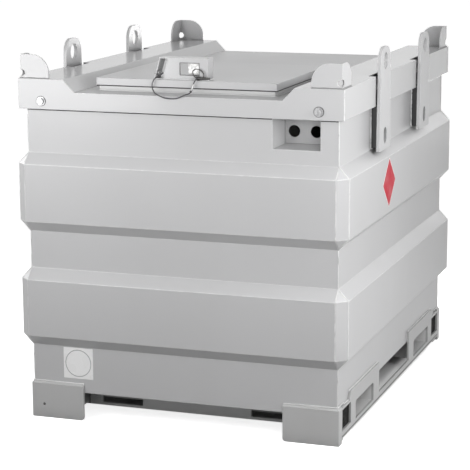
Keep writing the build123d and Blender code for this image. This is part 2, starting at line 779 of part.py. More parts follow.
# Hose port recess: a pan behind the front wall with a sloped left side and floor
recess_from = half_depth - sheet - seat
hose_z = collar_foot - hose_drop
with BuildPart() as port_recess:
    with BuildSketch(Plane.XZ.offset(recess_from - recess_depth)):
        with Locations((recess_mid, (recess_foot + recess_top) / 2)):
            Rectangle(recess_width + 2 * recess_sheet, recess_top - recess_foot + 2 * recess_sheet)
    extrude(amount=recess_depth)
    with BuildSketch(Plane.XZ.offset(recess_from - recess_depth + recess_sheet)):
        with Locations((recess_mid + recess_slope / 2, (recess_foot + recess_top) / 2 + recess_slope / 4)):
            Rectangle(recess_width - recess_slope, recess_top - recess_foot - recess_slope / 2)
    with BuildSketch(Plane.XZ.offset(recess_from)):
        with Locations((recess_mid, (recess_foot + recess_top) / 2)):
            Rectangle(recess_width, recess_top - recess_foot)
    loft(ruled=True, mode=Mode.SUBTRACT)
    with BuildSketch(Plane.XZ.offset(recess_from - recess_depth - recess_sheet)):
        with Locations(*[(recess_left + hose_first + step * hose_spacing, hose_z) for step in (0, 1)]):
            Circle(hose_bore)
    extrude(amount=3 * recess_sheet, mode=Mode.SUBTRACT)
port_recess.part.label = "port_recess"
export_step(port_recess.part, "parts/port_recess.step")

# Domed bolts with washers in the fascias
with BuildPart() as fascia_bolts:
    for sx, sy in corners:
        head = Plane(origin=(sx * bolt_at, sy * collar_y, collar_foot + bolt_rise), z_dir=(0, sy, 0))
        with Locations(head):
            Cylinder(bolt_washer, bolt_washer_sheet, align=(Align.CENTER, Align.CENTER, Align.MIN))
            Cylinder(bolt_dome, bolt_length, align=(Align.CENTER, Align.CENTER, Align.MIN))
fascia_bolts.part.label = "fascia_bolts"
export_step(fascia_bolts.part, "parts/fascia_bolts.step")
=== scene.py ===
"""Looks of the diesel storage and transport tank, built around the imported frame. Metres, z up."""

import math

import bmesh
import bpy
from mathutils import Matrix, Vector


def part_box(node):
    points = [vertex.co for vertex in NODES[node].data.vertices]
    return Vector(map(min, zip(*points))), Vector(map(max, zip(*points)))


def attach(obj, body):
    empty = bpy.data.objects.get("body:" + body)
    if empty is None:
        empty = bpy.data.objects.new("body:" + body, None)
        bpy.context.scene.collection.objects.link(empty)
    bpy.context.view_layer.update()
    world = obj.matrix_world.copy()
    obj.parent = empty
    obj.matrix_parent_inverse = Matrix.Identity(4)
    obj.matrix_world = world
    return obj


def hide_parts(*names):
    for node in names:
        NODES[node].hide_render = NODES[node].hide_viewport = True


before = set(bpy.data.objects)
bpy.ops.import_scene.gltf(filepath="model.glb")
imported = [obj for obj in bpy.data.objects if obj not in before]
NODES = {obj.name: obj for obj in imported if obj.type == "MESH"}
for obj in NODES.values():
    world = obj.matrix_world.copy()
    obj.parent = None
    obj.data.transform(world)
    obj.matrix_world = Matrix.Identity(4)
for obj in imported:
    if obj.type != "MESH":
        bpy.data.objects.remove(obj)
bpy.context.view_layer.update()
scene = bpy.context.scene

# the bodies, and the slots of the record's materials
TANK, LID = "tank", "lid"
PAINT_SLOT = "grey_gloss_paint"
ZINC_SLOT = "zinc_plated_steel"
DARK_SLOT = "dark_spring_steel"
WIRE_SLOT = "lanyard_wire"


def corners_of(node):
    """Lowest and highest corner of a node, to a tenth of a millimetre."""
    return [[round(number, 4) for number in corner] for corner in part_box(node)]


# places read from the frame, for the rear right corner; the other corners have other signs of x and y
SIGNS = [(sx, sy) for sx in (1, -1) for sy in (1, -1)]
(_, _, WALL_FOOT), (WALL_X, BELT_Y, _) = corners_of("wall_rear")
BELT_X = corners_of("wall_right")[1][0]
BELT_OUT = BELT_X - WALL_X
WALL_Y = BELT_Y - BELT_OUT
(_, _, COLLAR_FOOT), (COLLAR_X, COLLAR_Y, COLLAR_TOP) = corners_of("collar_rear")
DECK_TOP = corners_of("roof_deck")[1][2]
LID_TOP = corners_of("lid")[1][2]


# camera, from the fit to the photograph

PHOTO_WIDTH = 470
FOCAL_LENGTH = 1763.5
SENSOR_WIDTH = 36.0
CAMERA_PLACE = (2.11723, -6.24711, 1.88418)
YAW, PITCH, ROLL = 0.33597, -0.19983, -0.00495


def place_camera():
    """The photograph's camera. FOCAL_LENGTH is in pixels of PHOTO_WIDTH, the angles are in radians."""
    look = Vector((-math.sin(YAW) * math.cos(PITCH), math.cos(YAW) * math.cos(PITCH), math.sin(PITCH)))
    side = look.cross(Vector((0, 0, 1))).normalized()
    up = side.cross(look)
    c, s = math.cos(ROLL), math.sin(ROLL)
    right, top = c * side + s * up, -s * side + c * up
    data = bpy.data.cameras.new("camera")
    data.sensor_fit = "HORIZONTAL"
    data.sensor_width = SENSOR_WIDTH
    data.lens = FOCAL_LENGTH / PHOTO_WIDTH * SENSOR_WIDTH
    data.clip_end = 200
    camera = bpy.data.objects.new("camera", data)
    turn = Matrix((right, top, -look)).transposed().to_4x4()
    camera.matrix_world = Matrix.Translation(CAMERA_PLACE) @ turn
    scene.collection.objects.link(camera)
    scene.camera = camera


place_camera()


# small helpers for meshes

def new_object(name, mesh, body, material, smooth=True):
    """A piece that rides on a body, with its own finish."""
    obj = bpy.data.objects.new(name, mesh)
    scene.collection.objects.link(obj)
    mesh.materials.append(material)
    if smooth:
        for face in mesh.polygons:
            face.use_smooth = True
    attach(obj, body)
    return obj


def mesh_of(name, verts, faces):
    mesh = bpy.data.meshes.new(name)
    mesh.from_pydata([tuple(v) for v in verts], [], faces)
    mesh.update()
    return mesh


def joined(name, parts):
    """One mesh out of several (verts, faces) pairs."""
    verts, faces = [], []
    for part_verts, part_faces in parts:
        base = len(verts)
        verts += part_verts
        faces += [tuple(base + i for i in face) for face in part_faces]
    return mesh_of(name, verts, faces)


def bands(rows, count):
    """Faces between rows of vertices, each row a closed ring of count vertices."""
    faces = []
    for row in range(rows - 1):
        for k in range(count):
            a, b = row * count + k, row * count + (k + 1) % count
            faces.append((a, b, b + count, a + count))
    return faces


def ring_frame(points, i):
    """Two directions across the line at point i, the first as upright as it can be."""
    a = points[max(i - 1, 0)]
    b = points[min(i + 1, len(points) - 1)]
    along = (b - a).normalized()
    upright = Vector((0, 0, 1))
    one = upright - along * upright.dot(along)
    if one.length < 1e-6:
        one = along.orthogonal()
    one.normalize()
    return one, along.cross(one)


def swept(points, radius, sides):
    """A closed tube along points. radius is a function of the point's index."""
    points = [Vector(p) for p in points]
    verts = []
    for i, p in enumerate(points):
        one, two = ring_frame(points, i)
        r = radius(i)
        for k in range(sides):
            angle = 2 * math.pi * k / sides
            verts.append(p + (one * math.cos(angle) + two * math.sin(angle)) * r)
    first_end = tuple(reversed(range(sides)))
    last_end = tuple(len(verts) - sides + k for k in range(sides))
    return verts, bands(len(points), sides) + [first_end, last_end]


def divided(points, step):
    """Points every step along straight runs, for weld beads on straight edges."""
    out = []
    points = [Vector(p) for p in points]
    for a, b in zip(points, points[1:]):
        n = max(1, round((b - a).length / step))
        out += [a.lerp(b, k / n) for k in range(n)]
    return out + [points[-1]]


def bead(points, radius, seed, pitch=0.0055):
    """A weld bead with its ripples: a fine tube that swells and narrows along an edge."""
    line = divided(points, pitch / 2)

    def size(i):
        ripple = 0.16 * (1 if i % 2 else -1)
        drift = 0.10 * math.sin(i * 0.37 + seed) + 0.06 * math.sin(i * 0.11 + 2 * seed)
        return radius * (1 + ripple + drift)

    return swept(line, size, sides=7)


# colours and nodes

def srgb(value):
    value /= 255
    return value / 12.92 if value <= 0.04045 else ((value + 0.055) / 1.055) ** 2.4


def colour(r, g, b):
    return (srgb(r), srgb(g), srgb(b), 1)


def shade(base, share, lift=0.0):
    """A colour made darker or lighter."""
    return tuple(min(1, c * share + lift) for c in base[:3]) + (1,)


class Tree:
    """A short way to write the nodes of a material or a world."""

    def __init__(self, tree):
        self.tree = tree
        tree.nodes.clear()

    def link(self, a, b):
        self.tree.links.new(a, b)

    def add(self, kind, **values):
        node = self.tree.nodes.new(kind)
        for key, value in values.items():
            setattr(node, key, value)
        return node

    def put(self, node, socket, value):
        target = node.inputs[socket]
        if isinstance(value, bpy.types.NodeSocket):
            self.link(value, target)
        else:
            target.default_value = value

    def math(self, operation, a, b=0.0):
        node = self.add("ShaderNodeMath", operation=operation)
        self.put(node, 0, a)
        self.put(node, 1, b)
        return node.outputs[0]

    def ramp(self, value, low, high, to_low=0.0, to_high=1.0):
        node = self.add("ShaderNodeMapRange", interpolation_type="SMOOTHSTEP")
        self.put(node, 0, value)
        for i, number in enumerate((low, high, to_low, to_high)):
            node.inputs[i + 1].default_value = number
        return node.outputs[0]

    def seen(self):
        """1 for rays from the camera, from gloss or through glass, else 0."""
        path = self.add("ShaderNodeLightPath")
        indirect = self.math("MAXIMUM", path.outputs["Is Glossy Ray"], path.outputs["Is Transmission Ray"])
        return self.math("MAXIMUM", path.outputs["Is Camera Ray"], indirect)


class Finish(Tree):
    """The nodes of one material of the tank."""

    def __init__(self, name):
        self.material = bpy.data.materials.new(name)
        self.material.use_nodes = True
        super().__init__(self.material.node_tree)
        out = self.add("ShaderNodeOutputMaterial")
        self.shader = self.add("ShaderNodeBsdfPrincipled")
        self.link(self.shader.outputs[0], out.inputs[0])
        self.where = self.add("ShaderNodeTexCoord").outputs["Object"]

    def noise(self, scale, detail=3.0, rough=0.5, stretch=None):
        node = self.add("ShaderNodeTexNoise")
        where = self.where
        if stretch:
            mapping = self.add("ShaderNodeMapping")
            self.link(self.where, mapping.inputs["Vector"])
            mapping.inputs["Scale"].default_value = stretch
            where = mapping.outputs[0]
        self.link(where, node.inputs["Vector"])
        node.inputs["Scale"].default_value = scale
        node.inputs["Detail"].default_value = detail
        node.inputs["Roughness"].default_value = rough
        return node.outputs[0]

    def mix(self, factor, a, b):
        node = self.add("ShaderNodeMix", data_type="RGBA")
        self.put(node, 0, factor)
        self.put(node, 6, a)
        self.put(node, 7, b)
        return node.outputs[2]

    def over(self, base, mask, share, top):
        """The colour top over the colour base, where the mask is, by a share."""
        return self.mix(self.math("MULTIPLY", mask, share), base, top)

    def inside(self, limits):
        """1 where each (axis, LESS_THAN or GREATER_THAN, number) holds, with |x| and |y|, else 0."""
        apart = self.add("ShaderNodeSeparateXYZ")
        self.link(self.where, apart.inputs[0])
        share = None
        for axis, test, number in limits:
            value = apart.outputs["xyz".index(axis)]
            if axis != "z":
                value = self.math("ABSOLUTE", value)
            holds = self.math(test, value, number)
            share = holds if share is None else self.math("MULTIPLY", share, holds)
        return share

    def bump(self, height, strength, distance, normal=None):
        node = self.add("ShaderNodeBump")
        node.inputs["Strength"].default_value = strength
        node.inputs["Distance"].default_value = distance
        self.link(height, node.inputs["Height"])
        if normal is not None:
            self.link(normal, node.inputs["Normal"])
        return node.outputs[0]

    def edges(self, radius, low=0.02, high=0.25):
        """(rounded normal, 0 to 1 at edges and corners)."""
        bevel = self.add("ShaderNodeBevel", samples=4)
        bevel.inputs["Radius"].default_value = radius
        geometry = self.add("ShaderNodeNewGeometry")
        dot = self.add("ShaderNodeVectorMath", operation="DOT_PRODUCT")
        self.link(bevel.outputs[0], dot.inputs[0])
        self.link(geometry.outputs["Normal"], dot.inputs[1])
        return bevel.outputs[0], self.ramp(self.math("SUBTRACT", 1.0, dot.outputs["Value"]), low, high)

    def surface(self, tinted, rough, normal):
        """Joins colour, roughness and normal to the shader."""
        self.link(tinted, self.shader.inputs["Base Color"])
        self.link(rough, self.shader.inputs["Roughness"])
        self.link(normal, self.shader.inputs["Normal"])

    def set(self, **values):
        names = {"metal": "Metallic", "coat": "Coat Weight", "coat_rough": "Coat Roughness",
                 "specular": "Specular IOR Level"}
        for key, value in values.items():
            self.shader.inputs[names[key]].default_value = value


# materials

STREAKS = colour(150, 148, 142)
SPECKS = colour(120, 118, 112)
# paler edges, partly wear and partly painted highlight; painted shade in hollows; painted black shadow on
# inner parts; how far the painted shade of a hollow reaches
WORN_AND_LIT_EDGE = colour(252, 252, 252)
DEEP_SHADE = colour(46, 46, 47)
PAINTED_SHADOW_BLACK = colour(22, 22, 23)
SHADE_REACH = 0.09


def paint(name, tone=(196, 196, 197), wave=0.5, grime=0.5, rough=0.34, round_off=0.003, corner_shade=0.55,
          coat=0.2, edge_wear_and_highlight=0.75, edge_from=(0.02, 0.25), painted_shadow=None, painted_shadow_share=0.94):
    """Light grey gloss paint on sheet steel, with streaks and specks of dirt, painted shade in its corners
    and hollows, and paler edges that are partly wear and partly painted highlight.
    The last two arguments give the limits and share of a painted black shadow on an inner part, such as the
    webs behind a lug."""
    n = Finish(name)
    normal, edge = n.edges(round_off, *edge_from)
    occlusion = n.add("ShaderNodeAmbientOcclusion", samples=6, only_local=False)
    occlusion.inputs["Distance"].default_value = SHADE_REACH
    open_to_air = occlusion.outputs["AO"]
    base = colour(*tone)
    tinted = n.mix(n.noise(1.7, 2.0, 0.45), shade(base, 0.955), shade(base, 1.04))
    streak = n.ramp(n.noise(5.0, 3.0, 0.5, stretch=(1.0, 1.0, 0.2)), 0.4, 0.95)
    tinted = n.over(tinted, streak, 0.12 * grime, STREAKS)
    speck = n.ramp(n.noise(260.0, 2.0, 0.5), 0.68, 0.8)
    tinted = n.over(tinted, speck, 0.2 * grime, SPECKS)
    # paler edges and corners away from hollows: partly wear, partly painted highlight
    worn_and_lit = n.math("MULTIPLY", edge, n.ramp(n.noise(35.0, 4.0, 0.65), 0.3, 0.65, 0.4, 1.0))
    open_worn_and_lit = n.math("MULTIPLY", worn_and_lit, n.ramp(open_to_air, 0.75, 0.95))
    tinted = n.over(tinted, open_worn_and_lit, edge_wear_and_highlight, WORN_AND_LIT_EDGE)
    # painted shade in corners, creases and hollows, by how closed in each point is
    corner_shade_mask = n.ramp(open_to_air, 0.05, 0.8, 1.0, 0.0)
    tinted = n.over(tinted, corner_shade_mask, corner_shade, DEEP_SHADE)
    # painted black shadow on inner parts within the given limits
    if painted_shadow:
        tinted = n.over(tinted, n.inside(painted_shadow), painted_shadow_share, PAINTED_SHADOW_BLACK)
    smear = n.ramp(n.noise(3.0, 3.0, 0.5), 0.2, 0.8, rough * 0.95, rough * 1.1)
    waves = n.bump(n.noise(2.6, 1.0, 0.4), 0.35 * wave, 0.012, normal)
    ripples = n.bump(n.noise(14.0, 2.0, 0.5), 0.16 * wave, 0.0012, waves)
    peel = n.bump(n.noise(620.0, 2.0, 0.55), 0.10, 0.00025, ripples)
    n.surface(tinted, smear, peel)
    n.set(metal=0.0, coat=coat, coat_rough=0.1)
    return n.material


def steel(name, tone, rough, brushed, spots):
    """Bare, zinc plated or blackened steel."""
    n = Finish(name)
    normal, edge = n.edges(0.0008)
    base = colour(*tone)
    light = shade(base, 1.35, 0.01)
    tinted = n.mix(n.ramp(n.noise(90.0, 4.0, 0.6), 0.35, 0.7), shade(base, 0.62), base)
    tinted = n.over(tinted, n.ramp(n.noise(300.0, 3.0, 0.6), 0.5, 0.72), spots, light)
    tinted = n.over(tinted, edge, 0.45, light)
    smear = n.ramp(n.noise(140.0, 3.0, 0.6), 0.3, 0.7, rough * 0.7, rough * 1.4)
    n.surface(tinted, smear, n.bump(n.noise(420.0, 3.0, 0.6), brushed, 0.00012, normal))
    n.set(metal=1.0)
    return n.material


def wire(name):
    """Twisted steel wire: fine strands that wind round the line."""
    n = Finish(name)
    spiral = n.add("ShaderNodeTexWave", wave_type="BANDS", bands_direction="DIAGONAL")
    n.link(n.where, spiral.inputs["Vector"])
    spiral.inputs["Scale"].default_value = 260.0
    spiral.inputs["Distortion"].default_value = 0.6
    strand = spiral.outputs["Fac"]
    tinted = n.mix(n.ramp(strand, 0.2, 0.8), colour(42, 42, 44), colour(112, 112, 114))
    tinted = n.over(tinted, n.ramp(n.noise(60.0), 0.5, 0.75), 0.4, colour(70, 66, 60))
    n.surface(tinted, n.ramp(n.noise(90.0), 0.3, 0.7, 0.35, 0.55), n.bump(strand, 0.6, 0.0004))
    n.set(metal=1.0)
    return n.material


def film(name, tone, rough, faded):
    """A printed label's film, a little faded and dusty."""
    n = Finish(name)
    base = colour(*tone)
    pale = shade(base, 0.78, 0.176)
    tinted = n.over(base, n.ramp(n.noise(9.0, 4.0, 0.6), 0.35, 0.75), faded * 4, pale)
    tinted = n.over(tinted, n.ramp(n.noise(240.0, 2.0), 0.66, 0.74), 0.12, colour(150, 146, 140))
    smear = n.ramp(n.noise(20.0), 0.3, 0.7, rough * 0.8, rough * 1.25)
    n.surface(tinted, smear, n.bump(n.noise(30.0, 2.0), 0.2, 0.0004))
    return n.material


def rubber(name, tone=(34, 34, 35), specular=0.5):
    """Dull black or grey rubber, with dust in its grain."""
    n = Finish(name)
    tinted = n.mix(n.ramp(n.noise(120.0, 4.0, 0.6), 0.35, 0.75), colour(*tone), colour(58, 57, 55))
    n.surface(tinted, n.ramp(n.noise(80.0), 0.3, 0.7, 0.55, 0.8), n.bump(n.noise(500.0), 0.35, 0.0002))
    n.set(specular=specular)
    return n.material


# inner faces that get a painted black shadow, by |x|, |y| and z
BEHIND_LUGS = [("x", "LESS_THAN", 0.5850), ("z", "LESS_THAN", 1.1900)]
INSIDE_FEET = [("x", "LESS_THAN", 0.5590), ("y", "LESS_THAN", 0.7510), ("z", "LESS_THAN", 0.1200)]
BACK_OF_PORT = [("y", "LESS_THAN", 0.6965)]
ENDS_OF_CROSS_RAILS = [("x", "GREATER_THAN", 0.4100)]

# values that several paints share
FINE_EDGE = dict(edge_wear_and_highlight=1.0, edge_from=(0.01, 0.12))
FLAT_TOP = dict(tone=(193, 193, 194), wave=0.7, corner_shade=0.2, coat=0.0)

PAINT_WALL = paint("paint_wall", wave=1.0, round_off=0.0045, edge_wear_and_highlight=1.0, edge_from=(0.004, 0.05))
PAINT_COLLAR = paint("paint_collar", grime=0.4, round_off=0.004, edge_wear_and_highlight=1.0)
PAINT_FLANGE = paint("paint_flange", wave=0.4, grime=0.4, rough=0.2, corner_shade=0.7)
PAINT_TOP = paint("paint_top", **FLAT_TOP)
PAINT_LID = paint("paint_lid", **FLAT_TOP, **FINE_EDGE)
PAINT_HOOD = paint("paint_hood", wave=0.35, round_off=0.002, corner_shade=0.9, **FINE_EDGE)
PAINT_FITTING = paint("paint_fitting", wave=0.35, round_off=0.004, corner_shade=0.8, **FINE_EDGE)
# the webs behind each lug get a painted black shadow
PAINT_LUG = paint("paint_lug", wave=0.35, corner_shade=0.6, edge_wear_and_highlight=1.0, edge_from=(0.01, 0.15),
                  painted_shadow=BEHIND_LUGS)
# the back of each port gets a painted shade
PAINT_PORT = paint("paint_port", wave=0.35, corner_shade=0.35, painted_shadow=BACK_OF_PORT, painted_shadow_share=0.32)
PAINT_BASE = paint("paint_base", tone=(190, 190, 190), grime=1.1, rough=0.42, corner_shade=0.5)
# the inner faces of the feet and the tank's floor get a painted black shadow
PAINT_FOOT = paint("paint_foot", tone=(192, 192, 192), grime=1.1, rough=0.42, corner_shade=0.5, edge_wear_and_highlight=1.0,
                   painted_shadow=INSIDE_FEET)
# lighter than the walls' paint: painted light in the shaded fork pockets
PAINT_TUNNEL = paint("paint_tunnel", tone=(226, 226, 226), grime=1.0, rough=0.42, corner_shade=0.3)
# lighter than the walls' paint: painted light on the shaded cross rails, whose ends get a painted black
# shadow
PAINT_RAIL = paint("paint_rail", tone=(238, 238, 238), grime=1.2, rough=0.45, corner_shade=0.2,
                   painted_shadow=ENDS_OF_CROSS_RAILS)
# lighter than the walls' paint: painted light on the coaming in the lid's shade
PAINT_COAMING = paint("paint_coaming", tone=(214, 214, 214), wave=0.3, corner_shade=0.1)
# lighter than the walls' paint: a painted highlight along the weld beads
PAINT_WELD_HIGHLIGHT = paint("paint_weld_highlight", tone=(230, 230, 230), wave=0.3, grime=0.6, rough=0.32, corner_shade=0.1)
# darker than the walls' paint: painted shade in the band at each corner guide's foot
PAINT_SEAM_SHADE = paint("paint_seam_shade", tone=(150, 150, 150), wave=0.3, grime=1.0, rough=0.4, corner_shade=0.6,
                   edge_wear_and_highlight=0.0)
ZINC = steel("zinc", (176, 176, 177), rough=0.38, brushed=0.35, spots=0.4)
SPRING = steel("spring_steel", (92, 91, 90), rough=0.36, brushed=0.4, spots=0.35)
BRIGHT = steel("bright_steel", (196, 196, 195), rough=0.4, brushed=0.3, spots=0.3)
WIRE = wire("lanyard_wire_metal")
RUBBER = rubber("rubber")

# the finish of the frame's own nodes, by how their names start; the longest start counts
PAINT_OF = {
    "wall_": PAINT_WALL, "tank_floor": PAINT_FOOT, "roof_deck": PAINT_TOP, "hatch_coaming": PAINT_COAMING,
    "equipment_bay": PAINT_BASE, "collar_": PAINT_COLLAR, "collar_left": PAINT_FLANGE,
    "collar_right": PAINT_FLANGE, "corner_guide": PAINT_FITTING, "lifting_lug": PAINT_LUG,
    "foot": PAINT_FOOT, "side_rail": PAINT_BASE, "fork_tunnel": PAINT_TUNNEL, "cross_rail": PAINT_RAIL,
    "lid": PAINT_LID, "lid_hinge": PAINT_FITTING, "lid_hood": PAINT_HOOD, "port_recess": PAINT_PORT,
}
LOOK = {start: (material, PAINT_SLOT) for start, material in PAINT_OF.items()}
LOOK["lock_plate"] = BRIGHT, ZINC_SLOT
LOOK["lock_pin"] = SPRING, DARK_SLOT
LOOK["lock_lanyard"] = WIRE, WIRE_SLOT
LOOK["fascia_bolts"] = ZINC, ZINC_SLOT


def finish_nodes():
    """Gives each node of the frame its material."""
    for name, node in NODES.items():
        known = [start for start in LOOK if name.startswith(start)]
        material, slot = LOOK[max(known, key=len)]
        node.data.materials.clear()
        node.data.materials.append(material)


finish_nodes()


# the lock's wire lanyard, a free cord

ROUTE = [
    (-0.1008, -0.6640, 1.2350), (-0.0920, -0.6640, 1.2350), (-0.0860, -0.6720, 1.2340),
    (-0.0880, -0.6890, 1.2300), (-0.1040, -0.7000, 1.2210), (-0.1155, -0.7000, 1.2030),
    (-0.1150, -0.7020, 1.1850), (-0.1010, -0.7200, 1.1750), (-0.0850, -0.7570, 1.1770),
    (-0.0660, -0.7820, 1.1740), (-0.0360, -0.7840, 1.1620), (0.0040, -0.7840, 1.1620),
    (0.0310, -0.7800, 1.1750), (0.0370, -0.7520, 1.1770), (0.0280, -0.7130, 1.1750),
    (0.0330, -0.7010, 1.1960), (0.0385, -0.7025, 1.2130), (0.0442, -0.6915, 1.2234),
]
WIRE_RADIUS = 0.002


def spline_curve(name, bevel):
    """The lanyard's route as a smooth curve, with a radius or bare."""
    data = bpy.data.curves.new(name, "CURVE")
    data.dimensions = "3D"
    data.resolution_u = 12
    data.bevel_depth = bevel
    data.bevel_resolution = 3
    data.use_fill_caps = bevel > 0
    spline = data.splines.new("NURBS")
    spline.points.add(len(ROUTE) - 1)
    for point, place in zip(spline.points, ROUTE):
        point.co = (*place, 1)
    spline.order_u = 3
    spline.use_endpoint_u = True
    obj = bpy.data.objects.new(name, data)
    scene.collection.objects.link(obj)
    return obj


def spline_points():
    """Points on the lanyard's line, from its spline without thickness."""
    bare = spline_curve("lanyard_line", 0.0)
    bpy.context.view_layer.update()
    mesh = bpy.data.meshes.new_from_object(bare)
    bpy.data.objects.remove(bare)
    return [v.co.copy() for v in mesh.vertices]


lanyard = spline_curve("lanyard", WIRE_RADIUS)
lanyard.data.materials.append(WIRE)
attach(lanyard, LID)
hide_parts("lock_lanyard")

LINE = spline_points()
LENGTH = sum((b - a).length for a, b in zip(LINE, LINE[1:]))


def along_line(start, end):
    """The part of the lanyard's line between two distances from its start, as points."""
    out, gone = [], 0.0
    for a, b in zip(LINE, LINE[1:]):
        step = (b - a).length
        for t in (0.0, 0.25, 0.5, 0.75):
            if start <= gone + t * step <= end:
                out.append(a.lerp(b, t))
        gone += step
    return out


def sleeve(name, start, end, radius):
    """A crimped sleeve on the wire, with a narrow lip at each end and two pressed rings."""
    points = along_line(start, end)
    last = len(points) - 1

    def size(i):
        t = i / last
        lip = 0.86 if t < 0.04 or t > 0.96 else 1.0
        pressed = 0.9 if 0.28 < t < 0.40 or 0.60 < t < 0.72 else 1.0
        return radius * lip * pressed

    return new_object(name, joined(name, [swept(points, size, sides=16)]), LID, BRIGHT)


def ball_stop(name, start, end, radius):
    """A slightly flat rubber ball on the wire, half way between two distances from its start."""
    points = along_line(start, end)
    centre = points[len(points) // 2]
    bm = bmesh.new()
    bmesh.ops.create_icosphere(bm, subdivisions=3, radius=radius)
    for v in bm.verts:
        v.co.z *= 0.86
        v.co += centre
    mesh = bpy.data.meshes.new(name)
    bm.to_mesh(mesh)
    bm.free()
    return new_object(name, mesh, LID, RUBBER)


crimp_pin = sleeve("lanyard_crimp_pin", LENGTH - 0.049, LENGTH - 0.024, radius=0.0034)
crimp_bolt = sleeve("lanyard_crimp_bolt", 0.004, 0.016, radius=0.0031)
stop = ball_stop("lanyard_stop", LENGTH - 0.0575, LENGTH - 0.0515, radius=0.0041)


# labels, bare and generic

RED = film("label_red", (190, 14, 44), rough=0.5, faded=0.03)
WHITE = film("label_white", (253, 253, 253), rough=0.3, faded=0.0)
PRINT = film("label_grey_print", (178, 179, 180), rough=0.45, faded=0.12)

# the directions across, up and out of the faces that carry the labels
RIGHT_SIDE = Vector((0, 1, 0)), Vector((0, 0, 1)), Vector((1, 0, 0))
FRONT_SIDE = Vector((1, 0, 0)), Vector((0, 0, 1)), Vector((0, -1, 0))

DIAMOND_PLACE = Vector((BELT_X, -0.2327, 0.8208))
DIAMOND_HALF = 0.0863 / math.sqrt(2)
DIAMOND_LIFT, DIAMOND_THICK = 0.0001, 0.0003
BORDER_WIDTH, BORDER_THICK = 0.0028, 0.0002
SQUARE_PLACE = Vector((-0.3895, -WALL_Y, 0.2066))
SQUARE_HALF, SQUARE_THICK = 0.0561, 0.0004
RING_INNER, RING_OUTER, RING_THICK = 0.0466, 0.0496, 0.0002


def rounded_square(half, radius, turn=0.0, steps=6):
    """Outline of a square label with small corner rounds, turned by an angle in radians."""
    out = []
    for cx, cy, first in ((1, 1, 0), (-1, 1, 90), (-1, -1, 180), (1, -1, 270)):
        for k in range(steps + 1):
            angle = math.radians(first + 90 * k / steps)
            out.append((cx * (half - radius) + radius * math.cos(angle),
                        cy * (half - radius) + radius * math.sin(angle)))
    c, s = math.cos(turn), math.sin(turn)
    return [(x * c - y * s, x * s + y * c) for x, y in out]


def sheet_label(name, outline, centre, side, thick, material):
    """A thin film with a rounded edge, its back on the wall."""
    across, up, outward = side
    verts = []
    for depth, shrink in ((0.0, 1.0), (0.7 * thick, 1.0), (thick, 0.994)):
        verts += [centre + across * (x * shrink) + up * (y * shrink) + outward * depth for x, y in outline]
    count = len(outline)
    front = tuple(2 * count + k for k in range(count))
    mesh = mesh_of(name, verts, bands(3, count) + [front])
    return new_object(name, mesh, TANK, material, smooth=False)


def flat_ring(name, centre, side, inner, outer, thick, material, steps=64):
    """A thin printed ring, open at its back."""
    across, up, outward = side
    verts, faces = [], []
    for k in range(steps):
        angle = 2 * math.pi * k / steps
        direction = across * math.cos(angle) + up * math.sin(angle)
        for radius, depth in ((inner, 0), (inner, thick), (outer, thick), (outer, 0)):
            verts.append(centre + direction * radius + outward * depth)
    for k in range(steps):
        a, b = 4 * k, 4 * ((k + 1) % steps)
        for i in range(3):
            faces.append((a + i, b + i, b + i + 1, a + i + 1))
    return new_object(name, mesh_of(name, verts, faces), TANK, material, smooth=False)


def diamond():
    """A plain red square on its corner, on a slightly larger pale one."""
    on_corner = math.pi / 4
    border = rounded_square(DIAMOND_HALF + BORDER_WIDTH, 0.004, on_corner)
    sheet_label("label_diamond_edge", border, DIAMOND_PLACE, RIGHT_SIDE, BORDER_THICK, WHITE)
    lifted = DIAMOND_PLACE + RIGHT_SIDE[2] * DIAMOND_LIFT
    outline = rounded_square(DIAMOND_HALF, 0.003, on_corner)
    sheet_label("label_diamond", outline, lifted, RIGHT_SIDE, DIAMOND_THICK, RED)


def white_square():
    """A plain white square with a grey ring."""
    outline = rounded_square(SQUARE_HALF, 0.002)
    sheet_label("label_square", outline, SQUARE_PLACE, FRONT_SIDE, SQUARE_THICK, WHITE)
    lifted = SQUARE_PLACE + FRONT_SIDE[2] * SQUARE_THICK
    flat_ring("label_ring", lifted, FRONT_SIDE, RING_INNER, RING_OUTER, RING_THICK, PRINT)


diamond()
white_square()


# weld beads

# how far the middle of a bead stands off the faces that it joins, where nothing else is said
PROUD = 0.0005
GUIDE_SHEET = 0.006
# from foot to top: the walls' corners beside the belts, and the belts' upright faces
PLAIN_CORNERS = (0.1350, 0.2640), (0.5460, 0.6740), (0.9560, 1.1060)
BELT_FACES = (0.3040, 0.5060), (0.7141, 0.9161)


def weld(name, lines, radius=0.0024, body=TANK, material=PAINT_WELD_HIGHLIGHT):
    """Weld beads along several lines, one piece."""
    beads = [bead(points, radius, seed=k) for k, points in enumerate(lines)]
    return new_object(name, joined(name, beads), body, material)


def at_corners(*lines):
    """Lines given for the rear right corner, repeated at all four."""
    return [[(sx * x, sy * y, z) for x, y, z in points] for sx, sy in SIGNS for points in lines]


def weld_feet():
    """Up the inner end of each foot and along its top, round the wall's corner."""
    (inner_x, inner_y, _), (_, _, top) = corners_of("foot_rear_right")
    end_x, side_x, over = inner_x + 0.0022, WALL_X + 2 * PROUD, top + 2 * PROUD
    weld("weld_feet", at_corners([
        (end_x, WALL_Y + 3 * PROUD, WALL_FOOT + 4 * PROUD), (end_x, WALL_Y + 2 * PROUD, top),
        (WALL_X - PROUD, WALL_Y + 2 * PROUD, over), (side_x, WALL_Y + PROUD, over),
        (side_x, inner_y + 0.0017, over)]))


